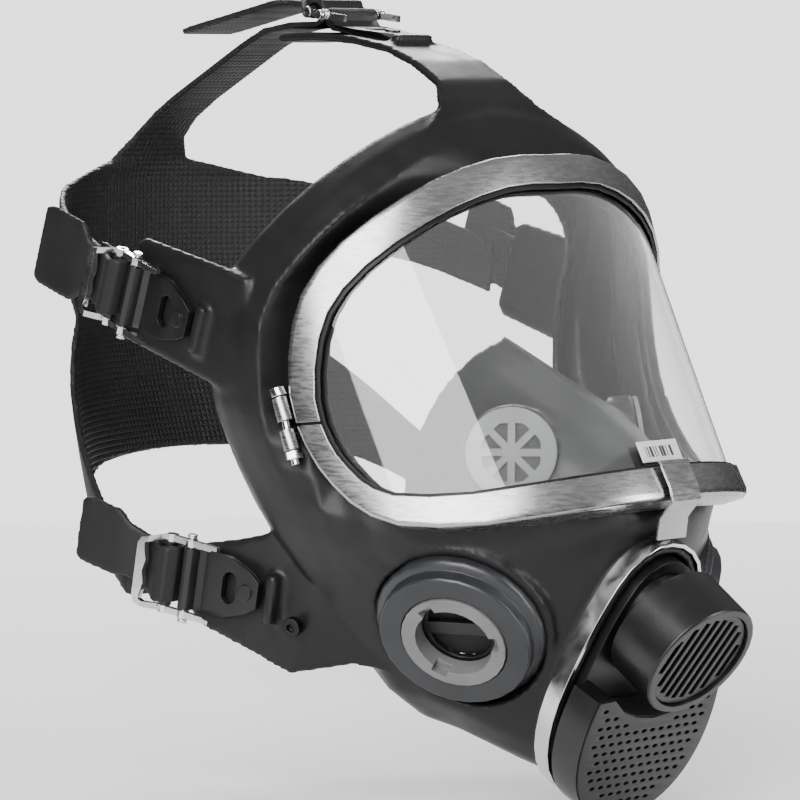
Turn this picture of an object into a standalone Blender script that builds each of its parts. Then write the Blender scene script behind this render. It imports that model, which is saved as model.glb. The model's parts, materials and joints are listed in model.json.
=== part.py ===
"""Full face respirator: rubber facepiece, wrap-round visor, two filter ports, front unit and head harness.

Lengths below are millimetres; the scene is metres, +Z up, the wearer looks along -Y.
The origin is the centre of the face opening, which is the part's datum.
"""

import math

import bmesh
import bpy
from mathutils import Matrix, Vector

MM = 0.001
GAP = 0.35

# visor: an elliptic surface whose depth and position change linearly with height
VISOR_HALF_WIDTH = 84.4
VISOR_Z_TOP, VISOR_Z_LOW = 75.7, -22.0
VISOR_Y_TOP, VISOR_Y_LOW = 8.9, -19.6
VISOR_DEPTH_TOP, VISOR_DEPTH_LOW = 80.4, 106.7
# outer edge of the visor frame on one half: (angle round the visor in degrees, height)
FRAME_EDGE = [
    (0, 82), (13, 81.6), (26.4, 76.8), (39.4, 68.7), (53.5, 56.6), (64.3, 42.6), (70.7, 26.4), (74, 7.3),
    (73, -7.2), (70.4, -16.5), (65.9, -25), (58.8, -29.8), (45, -29.2), (30, -26), (14, -23.6), (0, -22.8),
]
FRAME_SPLIT_Z = 2.0
# half the gap between the frame halves, in points of the visor outline, which are about 9 mm apart
SPLIT_GAP = 0.06
LENS_THICKNESS = 2.0
SHELL_THICKNESS = 2.6

# filter ports, measured on the wearer's right
PORT_CENTRE = Vector((-51.5, -79.6, -68.8))
PORT_NORMAL = Vector((-0.77, -0.37, -0.52)).normalized()
PORT_COLLAR_R, PORT_NECK_R = 28.0, 23.4
PORT_SEAT_DEPTH = 9.0

# front unit: a tilted plane carrying the clamp band; outline as (half width, height up the plane)
BAND_FOOT = Vector((0, -88.9, -121.9))
BAND_TILT = math.radians(23.8)
BAND_OUTLINE = [
    (0, 91), (9, 88.5), (16, 82), (20.5, 72), (23.5, 62), (26, 50), (27.6, 38), (27.2, 27), (24.5, 17),
    (19, 8.5), (10, 2), (0, 0),
]
BAND_WIDTH, BAND_THICKNESS = 6.5, 1.2
CLIP_THICKNESS = 1.1
BOLT_OUT = 2.4
SPEECH_CENTRE = Vector((0, -138.3, -73.9))
SPEECH_TILT = math.radians(33.7)
SPEECH_R, SPEECH_LENGTH = 21.0, 30.0

# nose cup valves, wearer's right
CUP_VALVE_CENTRE = Vector((-29.5, -83.0, -10.0))
CUP_VALVE_NORMAL = Vector((-0.74, -0.66, 0.12)).normalized()

# buckles on the wearer's right and at the top: roller centre and the direction the strap pulls
TEMPLE_ROLLER = Vector((-94.5, 32.3, 39.5))
TEMPLE_PULL = Vector((0, 0.945, 0.326))
LOWER_ROLLER = Vector((-85.0, 16.2, -53.5))
LOWER_PULL = Vector((-0.205, 0.965, 0.165))
TOP_ROLLER = Vector((0, 29.0, 130.0))
TOP_PULL = Vector((0, 0.992, 0.125))
STRAP_THICKNESS = 2.2
WRAP_GAP = 0.95
ROLLER_R = 2.2
# the buckle's toothed bar is raised this far, so that it lies over the outer layer of the strap
BAR_RISE = 5.6
RISE_START, RISE_END = 5.6, 8.1
PIN_X = -4.6
PIN_R = 0.9
ROLLER_X = 3.4


def clear_scene():
    for item in list(bpy.data.objects):
        bpy.data.objects.remove(item, do_unlink=True)
    for item in list(bpy.data.meshes):
        bpy.data.meshes.remove(item)


clear_scene()
PARTS = bpy.data.collections.new("full_face_respirator")
CUTTERS = bpy.data.collections.new("cutters")
bpy.context.scene.collection.children.link(PARTS)
bpy.context.scene.collection.children.link(CUTTERS)


def material(name, colour, metallic, roughness, transmission=0.0):
    mat = bpy.data.materials.new(name)
    mat.use_nodes = True
    shader = mat.node_tree.nodes["Principled BSDF"]
    shader.inputs["Base Color"].default_value = (*colour, 1.0)
    shader.inputs["Metallic"].default_value = metallic
    shader.inputs["Roughness"].default_value = roughness
    shader.inputs["Transmission Weight"].default_value = transmission
    return mat


RUBBER = ("rubber", (0.05, 0.05, 0.052), 0.0, 0.55)
SEAL_RUBBER = ("seal", (0.02, 0.02, 0.02), 0.0, 0.6)
HARNESS = ("harness", (0.015, 0.015, 0.015), 0.0, 0.7)
CLEAR = ("clear", (0.95, 0.96, 0.97), 0.0, 0.03, 1.0)
BRUSHED = ("brushed", (0.62, 0.62, 0.62), 1.0, 0.3)
STEEL = ("steel", (0.75, 0.75, 0.74), 1.0, 0.2)
BLACK = ("black", (0.012, 0.012, 0.012), 0.0, 0.45)
GREY = ("grey", (0.09, 0.095, 0.11), 0.0, 0.4)
LIGHT_GREY = ("light_grey", (0.28, 0.28, 0.28), 0.0, 0.5)
SILICONE = ("silicone", (0.1, 0.1, 0.1), 0.0, 0.5)
PLATE = ("plate", (0.7, 0.7, 0.7), 0.6, 0.4)


def frame_matrix(origin, x_axis, z_axis):
    """World matrix in metres with local X along x_axis and local Z near z_axis."""
    z = z_axis.normalized()
    x = (x_axis - z * x_axis.dot(z)).normalized()
    y = z.cross(x)
    rotation = Matrix((x, y, z)).transposed().to_4x4()
    return Matrix.Translation(origin * MM) @ rotation


def new_object(name, bm, look=None, matrix=None, collection=None):
    """Turns a millimetre bmesh into a named object placed by matrix."""
    bmesh.ops.scale(bm, vec=(MM, MM, MM), verts=bm.verts)
    bmesh.ops.remove_doubles(bm, verts=bm.verts, dist=0.000002)
    bmesh.ops.recalc_face_normals(bm, faces=bm.faces)
    mesh = bpy.data.meshes.new(name)
    bm.to_mesh(mesh)
    bm.free()
    obj = bpy.data.objects.new(name, mesh)
    (collection or PARTS).objects.link(obj)
    if matrix is not None:
        obj.matrix_world = matrix
    if look:
        mesh.materials.append(material(name + "_" + look[0], *look[1:]))
    if collection is CUTTERS:
        obj.hide_render = True
        obj.display_type = "WIRE"
    return obj


def smooth(obj, angle=35):
    """Smooth shading with creases kept sharp."""
    limit = math.radians(angle)
    bm = bmesh.new()
    bm.from_mesh(obj.data)
    for face in bm.faces:
        face.smooth = True
    for edge in bm.edges:
        edge.smooth = len(edge.link_faces) == 2 and edge.calc_face_angle(0.0) < limit
    bm.to_mesh(obj.data)
    bm.free()
    return obj


def apply_modifiers(obj):
    depsgraph = bpy.context.evaluated_depsgraph_get()
    mesh = bpy.data.meshes.new_from_object(obj.evaluated_get(depsgraph))
    obj.modifiers.clear()
    old = obj.data
    obj.data = mesh
    bpy.data.meshes.remove(old)


def measure(mesh):
    """(closed, volume) of a mesh in its own axes."""
    bm = bmesh.new()
    bm.from_mesh(mesh)
    closed = all(len(edge.link_faces) == 2 for edge in bm.edges)
    volume = bm.calc_volume()
    bm.free()
    return closed, volume


def boolean(obj, tool, operation):
    """Applies one Boolean and removes the tool; the second solver is used where the first fails."""
    before, change = measure(obj.data)[1], measure(tool.data)[1]
    grown = operation == "UNION"
    least = before * 0.9999 if grown else before - change * 1.001
    most = before + change * 1.001 if grown else before * 1.0001
    original = obj.data.copy()
    for solver in ("EXACT", "MANIFOLD"):
        modifier = obj.modifiers.new("cut", "BOOLEAN")
        modifier.operation = operation
        modifier.object = tool
        modifier.solver = solver
        bpy.context.view_layer.update()
        apply_modifiers(obj)
        closed, volume = measure(obj.data)
        if closed and least <= volume <= most:
            break
        if solver == "EXACT":
            obj.data = original.copy()
    bpy.data.objects.remove(tool, do_unlink=True)


def drop_crumbs(obj):
    """Deletes slivers cut off the main body."""
    bm = bmesh.new()
    bm.from_mesh(obj.data)
    left = set(bm.verts)
    bodies = []
    while left:
        stack = [left.pop()]
        body = set(stack)
        while stack:
            for edge in stack.pop().link_edges:
                for vert in edge.verts:
                    if vert in left:
                        left.discard(vert)
                        body.add(vert)
                        stack.append(vert)
        bodies.append(body)
    bodies.sort(key=len)
    for body in bodies[:-1]:
        bmesh.ops.delete(bm, geom=list(body), context="VERTS")
    bm.to_mesh(obj.data)
    bm.free()


def grid_faces(bm, rows, ring):
    """Quads between equal vertex rows; ring closes each row."""
    count = len(rows[0])
    last = count if ring else count - 1
    for lower, upper in zip(rows, rows[1:]):
        for i in range(last):
            j = (i + 1) % count
            bm.faces.new((lower[i], lower[j], upper[j], upper[i]))


def loft(name, rings, look=None, caps=True, matrix=None, collection=None, join_ends=False):
    """Skin over equal rings of points."""
    bm = bmesh.new()
    rows = [[bm.verts.new(p) for p in ring] for ring in rings]
    grid_faces(bm, rows + ([rows[0]] if join_ends else []), True)
    if caps and not join_ends:
        bm.faces.new(rows[0])
        bm.faces.new(reversed(rows[-1]))
    return new_object(name, bm, look, matrix, collection)


def revolve(name, profile, segments, look=None, matrix=None, collection=None, hollow=False):
    """Full turn of a (radius, height) profile about local Z; hollow closes the profile into a ring."""
    rings = []
    for radius, height in profile:
        ring = []
        for i in range(segments):
            a = 2 * math.pi * i / segments
            ring.append((radius * math.cos(a), radius * math.sin(a), height))
        rings.append(ring)
    return loft(name, rings, look, matrix=matrix, collection=collection, join_ends=hollow)


def disc(name, radius, low, high, segments, look=None, matrix=None, collection=None):
    return revolve(name, [(radius, high), (radius, low)], segments, look, matrix, collection)


def circle(radius, segments, cx=0.0, cy=0.0, stretch=0.0):
    """Closed outline of a circle, or of a slot when stretch moves its halves apart along Y."""
    points = []
    for i in range(segments):
        a = 2 * math.pi * (i + 0.5) / segments
        y = radius * math.sin(a)
        points.append((cx + radius * math.cos(a), cy + y + math.copysign(stretch, y)))
    return points


def plate(name, outlines, low, high, look=None, matrix=None, collection=None):
    """Flat plate with holes between two heights; the first outline is the outside."""
    curve = bpy.data.curves.new(name, "CURVE")
    curve.dimensions = "2D"
    curve.fill_mode = "BOTH"
    curve.extrude = (high - low) / 2 * MM
    curve.resolution_u = 1
    for outline in outlines:
        spline = curve.splines.new("POLY")
        spline.points.add(len(outline) - 1)
        for point, (x, y) in zip(spline.points, outline):
            point.co = (x * MM, y * MM, 0, 1)
        spline.use_cyclic_u = True
    holder = bpy.data.objects.new(name + "_curve", curve)
    bpy.context.scene.collection.objects.link(holder)
    bpy.context.view_layer.update()
    mesh = bpy.data.meshes.new_from_object(holder.evaluated_get(bpy.context.evaluated_depsgraph_get()))
    bpy.data.objects.remove(holder, do_unlink=True)
    bm = bmesh.new()
    bm.from_mesh(mesh)
    bpy.data.meshes.remove(mesh)
    bmesh.ops.translate(bm, vec=(0, 0, (high + low) / 2 * MM), verts=bm.verts)
    bmesh.ops.scale(bm, vec=(1 / MM, 1 / MM, 1 / MM), verts=bm.verts)
    bmesh.ops.remove_doubles(bm, verts=bm.verts, dist=0.002)
    return new_object(name, bm, look, matrix, collection)


def box(name, low, high, look=None, matrix=None, collection=None):
    outline = [(low[0], low[1]), (high[0], low[1]), (high[0], high[1]), (low[0], high[1])]
    return plate(name, [outline], low[2], high[2], look, matrix, collection)


def spline_at(points, t, closed=False):
    """Catmull-Rom curve through points at parameter t, counted in points."""
    n = len(points)
    spans = n if closed else n - 1
    i = max(0, min(int(t), spans - 1))
    f = t - i
    if closed:
        p = [points[(i + d) % n] for d in (-1, 0, 1, 2)]
    else:
        line = [points[0] * 2 - points[1]] + points + [points[-1] * 2 - points[-2]]
        p = line[i:i + 4]
    first = (p[2] - p[0]) * 0.5
    second = p[0] - p[1] * 2.5 + p[2] * 2.0 - p[3] * 0.5
    third = (p[3] - p[0]) * 0.5 + (p[1] - p[2]) * 1.5
    return p[1] + first * f + second * f * f + third * f * f * f


def spline(points, count, closed=False):
    """The same curve resampled evenly by parameter."""
    points = [Vector(p) for p in points]
    spans = len(points) if closed else len(points) - 1
    return [spline_at(points, k * spans / (count if closed else count - 1), closed) for k in range(count)]


def mirrored_loop(half):
    """Full ring from a half that starts and ends on the centre plane, +X side first."""
    back = [Vector((-p.x, p.y, p.z)) for p in half[-2:0:-1]]
    return list(half) + back


# ---------------------------------------------------------------- visor surface


def visor_point(angle, z, offset=0.0):
    """Point on the visor surface at an angle in degrees and a height, moved out by offset."""
    def base(a, h):
        f = (VISOR_Z_TOP - h) / (VISOR_Z_TOP - VISOR_Z_LOW)
        y = VISOR_Y_TOP + (VISOR_Y_LOW - VISOR_Y_TOP) * f
        depth = VISOR_DEPTH_TOP + (VISOR_DEPTH_LOW - VISOR_DEPTH_TOP) * f
        r = math.radians(a)
        return Vector((VISOR_HALF_WIDTH * math.sin(r), y - depth * math.cos(r), h))
    here = base(angle, z)
    along = base(angle + 0.1, z) - base(angle - 0.1, z)
    up = base(angle, z + 0.1) - base(angle, z - 0.1)
    normal = along.cross(up).normalized()
    return here + normal * offset


def edge_loop(count):
    """Visor frame outline as (angle, height) pairs going right round."""
    half = [Vector((a, z, 0)) for a, z in FRAME_EDGE]
    back = [Vector((-p.x, p.y, 0)) for p in half[-2:0:-1]]
    return spline(half + back, count, closed=True)


def inset(outline, index, distance):
    """Moves one outline point inwards over the surface by a distance."""
    n = len(outline)
    here = outline[index]
    before, after = outline[index - 1], outline[(index + 1) % n]
    per_degree = (visor_point(here.x + 0.5, here.y) - visor_point(here.x - 0.5, here.y)).length
    tangent = Vector(((after.x - before.x) * per_degree, after.y - before.y))
    tangent.normalize()
    inward = Vector((-tangent.y, tangent.x))
    if inward.dot(Vector((-here.x * per_degree, 27 - here.y))) < 0:
        inward = -inward
    return here.x + inward.x * distance / per_degree, here.y + inward.y * distance


def rim_place(outline, place, inward):
    """Inset point of the outline at a place counted in outline points, which may fall between two of them."""
    i = math.floor(place)
    here = inset(outline, i % len(outline), inward)
    there = inset(outline, (i + 1) % len(outline), inward)
    return [a + (b - a) * (place - i) for a, b in zip(here, there)]


def rim_sweep(name, outline, places, profile, look, closed):
    """Sweeps an (inward, outward) profile along part of the visor outline."""
    rings = []
    for place in places:
        ring = []
        for inward, outward in profile:
            angle, z = rim_place(outline, place, inward)
            ring.append(visor_point(angle, z, outward))
        rings.append(ring)
    return loft(name, rings, look, caps=not closed, join_ends=closed)


def visor_slab(name, outline, inward, low, high, look=None, collection=None):
    """Solid patch of the visor surface inside the outline."""
    edge = [inset(outline, i, inward) for i in range(len(outline))]
    centre = (0.0, 27.0)
    bm = bmesh.new()
    sheets = []
    for offset in (low, high):
        rows = []
        for f in (1.0, 0.92, 0.78, 0.55, 0.28):
            row = []
            for angle, z in edge:
                a = centre[0] + (angle - centre[0]) * f
                h = centre[1] + (z - centre[1]) * f
                row.append(bm.verts.new(visor_point(a, h, offset)))
            rows.append(row)
        grid_faces(bm, rows, True)
        middle = bm.verts.new(visor_point(*centre, offset))
        inner = rows[-1]
        for i in range(len(inner)):
            bm.faces.new((inner[i], inner[(i + 1) % len(inner)], middle))
        sheets.append(rows[0])
    grid_faces(bm, sheets, True)
    return new_object(name, bm, look, None, collection)


EDGE_COUNT = 52
EDGE = edge_loop(EDGE_COUNT)


def make_visor_group():
    smooth(visor_slab("visor", EDGE, 2.5, -LENS_THICKNESS, 0.0, CLEAR))
    seal_profile = [
        (0.4, -4.3), (9.6, -4.3), (9.6, -2.9), (1.5, -2.9), (1.5, 0.6), (9.6, 0.6), (9.6, 1.5), (0.4, 1.5),
    ]
    smooth(rim_sweep("visor_seal", EDGE, range(EDGE_COUNT), seal_profile, SEAL_RUBBER, True))
    frame_profile = [
        (-1.1, -6.5), (0.05, -6.5), (0.05, 1.85), (8.5, 1.85), (8.5, 2.9), (1.2, 3.4), (-0.5, 2.8), (-1.1, 1.6),
    ]
    split_right = min(range(EDGE_COUNT // 2), key=lambda i: abs(EDGE[i].y - FRAME_SPLIT_Z))
    split_left = EDGE_COUNT - split_right
    above_left = list(range(split_left + 1, EDGE_COUNT))
    above_right = list(range(0, split_right))
    upper = [split_left + SPLIT_GAP] + above_left + above_right + [split_right - SPLIT_GAP]
    lower = [split_right + SPLIT_GAP] + list(range(split_right + 1, split_left)) + [split_left - SPLIT_GAP]
    smooth(rim_sweep("visor_frame_upper", EDGE, upper, frame_profile, BRUSHED, False))
    smooth(rim_sweep("visor_frame_lower", EDGE, lower, frame_profile, BRUSHED, False))
    return split_right


# ---------------------------------------------------------------- facepiece


def surface_rows():
    """Control loops of the rubber shell from the seal lip forward to the clamp band, +X half.

    Each row has the same eleven meridians, from the forehead centre down the side to the chin centre.
    """
    v = visor_point
    lip_inner = [(0, -36, 76), (22, -36, 72), (42, -31, 63), (57, -22, 50), (66, -9, 33), (68, -5, 10),
                 (65, -9, -10), (57, -19, -33), (44, -33, -56), (26, -39, -78), (0, -40, -86)]
    lip_back = [(0, -32, 88), (25, -32, 84), (49, -27, 73), (66, -16, 58), (76, -1, 37), (78, 2, 11),
                (75, -4, -11), (67, -14, -37), (53, -29, -63), (32, -38, -89), (0, -39, -99)]
    roll = [(0, -35, 99), (28, -35, 94), (54, -29, 81), (73, -19, 64), (83.5, -3, 40), (85, -1, 12),
            (82, -7, -10), (73, -17, -37), (58, -32, -66), (36, -41, -95), (0, -42, -107)]
    rear = [(0, -41, 101), (28, -41, 96.5), (55, -35.5, 84), (75, -25, 66), (86, -9, 41), (87.5, -7.5, 12),
            (84.8, -13, -10), (76, -23, -37), (61, -37.5, -65), (37, -46.5, -96), (0, -47.5, -109)]
    ridge_back = [(0, -46.5, 97), (31, -47.5, 92.5), (58, -43.5, 79.5), (76, -36, 62), (86.8, -21, 39),
                  (88.5, -19, 12), (86.5, -23, -9), (77.5, -32, -34), (60.5, -42.5, -65), (36.5, -50, -96),
                  (0, -51.5, -111)]
    ridge_front = [(0, -51.5, 90.5), (32, -52.5, 86.5), (59, -50.5, 72.5), (76.5, -43.5, 58), (87.2, -30, 36),
                   (88, -28.5, 9), (86, -31.5, -9), (77, -40, -35), (59, -48, -65), (35, -54, -96.5),
                   (0, -55.5, -113)]
    groove = [v(0, 84.3, -8), v(17, 82.8, -8), v(38, 71.5, -8), v(54.5, 58, -8), v(67.5, 37, -8), v(75.5, 6, -8),
              (79.0, -42, -12), (75.2, -49, -37), (56.5, -54, -66.5), (33.5, -58.5, -98), (0, -59, -114.2)]
    under_edge = [v(0, 81.5, -7.4), v(16.5, 80.2, -7.4), v(37, 69.5, -7.4), v(53, 56.3, -7.4), v(65.6, 38, -7.4),
                  v(73.7, 7, -8.2), v(72.2, -11, -9.2), (72.5, -57, -39.5), (53, -60, -68), (32, -63, -99.5),
                  (0, -63, -115.2)]
    under_lens = [v(0, 77.5, -4.9), v(15.8, 76.2, -4.9), v(35.5, 66, -4.9), v(51, 53.5, -4.9), v(63, 36.5, -4.9),
                  v(71, 8, -4.9), v(69.5, -12, -7.6), (69, -64, -42), (50, -65, -69.5), (30.5, -67, -101),
                  (0, -66.5, -116)]
    across_high = [v(0, 50, -5), v(14, 48, -5), v(30, 42, -5), v(45, 33, -5), v(57, 20, -5), v(65, 0, -5),
                   v(66, -15, -7.6), (64.5, -70, -44.5), (47, -70, -71), (29, -71, -102.5), (0, -70, -116.7)]
    across_low = [v(0, 5, -5), v(13, 3, -5), v(27, -1, -5), v(41, -6, -5), v(52, -11, -5), v(60, -17, -5),
                  v(63, -22, -7.8), (59.5, -76, -47.5), (44, -75, -73), (27.5, -75, -104), (0, -73, -117.3)]
    below_lens = [v(0, -22, -7.6), v(12, -22.6, -7.6), v(25, -24.4, -7.6), v(38, -27, -7.6), v(49, -28.8, -7.6),
                  v(56, -29.5, -8.4), v(61, -30, -9.4), (53, -83, -51), (40, -80.5, -76), (25.5, -78.5, -105.5),
                  (0, -76, -117.8)]
    cheek = [(0, -121.5, -28), (12, -119.5, -30), (24, -115, -33.5), (34, -108.5, -37.5), (43, -101, -41),
             (48.5, -96, -43.5), (50, -92, -47), (41, -92.5, -58.5), (34.5, -87, -81), (23.3, -82, -107),
             (0, -79, -118.3)]
    return [lip_inner, lip_back, roll, rear, ridge_back, ridge_front, groove, under_edge, under_lens,
            across_high, across_low, below_lens, cheek]


# where each of the eleven meridians meets the clamp band, counted along BAND_OUTLINE
BAND_MERIDIANS = [0, 0.7, 1.4, 2.0, 2.7, 3.4, 4.2, 5.0, 6.5, 8.7, 11]


def band_point(x, s, out):
    """Point of the clamp-band plane: x across, s up the plane, out in front of it."""
    up = Vector((0, -math.sin(BAND_TILT), math.cos(BAND_TILT)))
    normal = Vector((0, -math.cos(BAND_TILT), -math.sin(BAND_TILT)))
    return BAND_FOOT + Vector((x, 0, 0)) + up * s + normal * out


BAND_NORMAL = Vector((0, -math.cos(BAND_TILT), -math.sin(BAND_TILT)))
BAND_MATRIX = frame_matrix(BAND_FOOT, Vector((1, 0, 0)), BAND_NORMAL)


def band_outline(grow, count=36):
    """Full clamp-band outline in plane coordinates, grown outwards by a distance; top centre first."""
    half = [Vector((x, s, 0)) for x, s in BAND_OUTLINE]
    full = spline(half + [Vector((-p.x, p.y, 0)) for p in half[-2:0:-1]], count, closed=True)
    result = []
    for i, p in enumerate(full):
        tangent = full[(i + 1) % count] - full[i - 1]
        outward = Vector((-tangent.y, tangent.x, 0)).normalized()
        if outward.dot(p - Vector((0, 45, 0))) < 0:
            outward = -outward
        q = p + outward * grow
        result.append((q.x, q.y))
    return result


HALF_POINTS = 25


def half_band_ring(grow, out):
    """Ring on the clamp-band outline, matched to the facepiece meridians."""
    half = [Vector((x, s, 0)) for x, s in BAND_OUTLINE]
    full = half + [Vector((-p.x, p.y, 0)) for p in half[-2:0:-1]]
    ring = []
    for k in range(HALF_POINTS):
        t = 10 * k / (HALF_POINTS - 1)
        i = min(int(t), 9)
        place = BAND_MERIDIANS[i] + (BAND_MERIDIANS[i + 1] - BAND_MERIDIANS[i]) * (t - i)
        p = spline_at(full, place, True)
        tangent = spline_at(full, place + 0.05, True) - spline_at(full, max(place - 0.05, 0), True)
        outward = Vector((-tangent.y, tangent.x, 0)).normalized()
        if outward.dot(p - Vector((0, 45, 0))) < 0:
            outward = -outward
        q = p + outward * grow
        ring.append(band_point(q.x, q.y, out))
    return ring


def make_shell():
    """Rubber shell: smooth loft through the control loops, thickened inwards."""
    loops = [spline(row, HALF_POINTS) for row in surface_rows()]
    neck_back = half_band_ring(-0.6, -BAND_WIDTH - 1.5)
    neck_front = half_band_ring(-0.6, -0.3)
    loops += [neck_back, neck_front]
    for row in loops:
        row[0].x = 0.0
        row[-1].x = 0.0
    rings = [mirrored_loop(row) for row in loops]
    bm = bmesh.new()
    rows = [[bm.verts.new(p) for p in ring] for ring in rings]
    grid_faces(bm, rows, True)
    shell = new_object("facepiece", bm, RUBBER)
    bm = bmesh.new()
    bm.from_mesh(shell.data)
    bmesh.ops.recalc_face_normals(bm, faces=bm.faces)
    probe = max(bm.faces, key=lambda f: f.calc_center_median().x)
    if probe.normal.x < 0:
        bmesh.ops.reverse_faces(bm, faces=bm.faces)
    bm.to_mesh(shell.data)
    bm.free()
    thick = shell.modifiers.new("wall", "SOLIDIFY")
    thick.thickness = SHELL_THICKNESS * MM
    thick.offset = -1.0
    thick.use_even_offset = False
    bpy.context.view_layer.update()
    apply_modifiers(shell)
    return shell


def plate_loft(name, stations, outward, thickness):
    """Closed plate from pairs of edge points; outward is the direction of its outer face."""
    rings = []
    for first, second in stations:
        first, second = Vector(first), Vector(second)
        inner = -Vector(outward).normalized() * thickness
        rings.append([first, second, second + inner, first + inner])
    return loft(name, rings, collection=CUTTERS)


def mirror_points(stations, side):
    """Stations are written for -X; side +1 mirrors them."""
    return [[(-p[0] * side, p[1], p[2]) for p in pair] for pair in stations]


def side_vector(v, side):
    """Mirrors a vector written for the wearer's right (-X) when side is +1."""
    return Vector((-v.x * side, v.y, v.z)) if side > 0 else Vector(v)


def port_matrix(side):
    return frame_matrix(side_vector(PORT_CENTRE, side), Vector((0, 0, 1)), side_vector(PORT_NORMAL, side))


def buckle_frames():
    """(suffix, matrix, side) of the five buckles; local X is the pull, Y the roller axis, Z outward."""
    frames = []
    for side, tag in ((-1, "right"), (1, "left")):
        for where, centre, pull in (("temple", TEMPLE_ROLLER, TEMPLE_PULL), ("lower", LOWER_ROLLER, LOWER_PULL)):
            outward = Vector((-1, 0, 0)) if where == "temple" else Vector((-0.975, -0.21, 0.0))
            z_axis = side_vector(outward, side)
            matrix = frame_matrix(side_vector(centre, side), side_vector(pull, side), z_axis)
            frames.append((where + "_" + tag, matrix))
    frames.append(("top", frame_matrix(TOP_ROLLER, TOP_PULL, Vector((0, -TOP_PULL.z, TOP_PULL.y)))))
    return frames


def make_facepiece():
    shell = make_shell()
    temple = [((-88.7, 31, 55.5), (-88.7, 40.5, 27)), ((-88.7, 27, 56.5), (-88.7, 38, 23)),
              ((-88.7, 10, 53), (-88.7, 19, 17.5)), ((-88.4, -8, 49), (-88.4, -2, 11.5)),
              ((-87.6, -22, 45), (-87.6, -16, 8))]
    lower = [((-79.0, 17.5, -45), (-79.0, 17.5, -65)), ((-78.0, 14, -43.5), (-78.0, 12, -70.5)),
             ((-74.3, -4, -40.5), (-74.0, -4, -76.5)), ((-72.8, -17, -37.5), (-67.5, -19, -84)),
             ((-74.5, -29, -36), (-57, -37.5, -80)), ((-74.8, -38, -37), (-50, -46.5, -82))]
    for side in (-1, 1):
        for label, stations in (("temple", temple), ("lower", lower)):
            outward = side_vector(Vector((-1, 0, 0)), side)
            tab = plate_loft(label + "_tab", mirror_points(stations, side), outward, 2.8)
            boolean(shell, tab, "UNION")
    lug_line = [((0, -46.5, 92), 32), ((0, -42, 99), 22), ((0, -35, 106.5), 16.5), ((0, -23, 113), 15.5),
                ((0, -8, 118), 14), ((0, 10, 121), 13.5), ((0, 30, 122.3), 13.5), ((0, 46, 121.6), 13.5),
                ((0, 49.5, 121.3), 10)]
    rings = []
    for k, (centre, half) in enumerate(lug_line):
        before = Vector(lug_line[max(k - 1, 0)][0])
        after = Vector(lug_line[min(k + 1, len(lug_line) - 1)][0])
        along = (after - before).normalized()
        normal = Vector((1, 0, 0)).cross(along)
        c = Vector(centre)
        across = Vector((half, 0, 0))
        rings.append([c - across + normal * 1.4, c + across + normal * 1.4, c + across - normal * 1.4,
                      c - across - normal * 1.4])
    boolean(shell, loft("forehead_lug", rings, collection=CUTTERS), "UNION")
    for side in (-1, 1):
        boss = disc("port_boss", 30.5, -PORT_SEAT_DEPTH - 6.0, -PORT_SEAT_DEPTH, 30, matrix=port_matrix(side),
                    collection=CUTTERS)
        boolean(shell, boss, "UNION")
        bore = disc("port_hole", PORT_NECK_R + GAP, -24, 4, 30, matrix=port_matrix(side), collection=CUTTERS)
        boolean(shell, bore, "DIFFERENCE")
        trim = disc("port_trim", PORT_COLLAR_R + 0.6, -PORT_SEAT_DEPTH, 4, 30, matrix=port_matrix(side),
                    collection=CUTTERS)
        boolean(shell, trim, "DIFFERENCE")
    window = visor_slab("visor_opening", EDGE, 9.0, -16, 12, None, CUTTERS)
    boolean(shell, window, "DIFFERENCE")
    for name, matrix in buckle_frames():
        keeper = box("keeper_" + name, (-37.5, -8, -8), (-33.5, 8, -2.6), matrix=matrix, collection=CUTTERS)
        boolean(shell, keeper, "UNION")
    drop_crumbs(shell)
    smooth(shell, 40)


# ---------------------------------------------------------------- ports


def make_ports():
    for side, tag in ((-1, "right"), (1, "left")):
        matrix = port_matrix(side)
        collar = [(17.7, 0), (24.6, 0), (25.2, -0.7), (25.2, -4.6), (27.2, -5.4), (28, -6.6), (28, -8.7),
                  (PORT_NECK_R, -8.7), (PORT_NECK_R, -14.5), (21.4, -14.5), (21.4, -10.2), (17.7, -10.2)]
        smooth(revolve("port_collar_" + tag, collar, 26, GREY, matrix, hollow=True), 30)
        ring = revolve("bayonet_ring_" + tag, [(12.6, 0.7), (17.3, 0.7), (17.3, -6.2), (12.6, -6.2)], 27,
                       LIGHT_GREY, matrix, hollow=True)
        for k in range(3):
            turn = matrix @ Matrix.Rotation(math.radians(120 * k + 30), 4, "Z")
            notch = box("notch", (11, -2.6, -3.0), (14.9, 2.6, 2), matrix=turn, collection=CUTTERS)
            boolean(ring, notch, "DIFFERENCE")
        smooth(ring, 30)
        seat_holes = []
        for sign in (-1, 1):
            half = []
            for k in range(8):
                a = math.radians(-84 + 24 * k)
                half.append((sign * (1.4 + 10.2 * math.cos(a)), 10.6 * math.sin(a)))
            seat_holes.append(half)
        smooth(plate("valve_seat_" + tag, [circle(17.3, 26)] + seat_holes, -8.4, -6.6, BLACK, matrix), 30)
        disc_matrix = matrix @ Matrix.Translation((0, 0, -8.9 * MM))
        smooth(disc("inhalation_valve_" + tag, 12.2, -0.8, 0.0, 22, SILICONE, disc_matrix), 30)


# ---------------------------------------------------------------- front unit


def speech_matrix():
    axis = Vector((0, -math.cos(SPEECH_TILT), -math.sin(SPEECH_TILT)))
    return frame_matrix(SPEECH_CENTRE, Vector((1, 0, 0)), axis)


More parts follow.
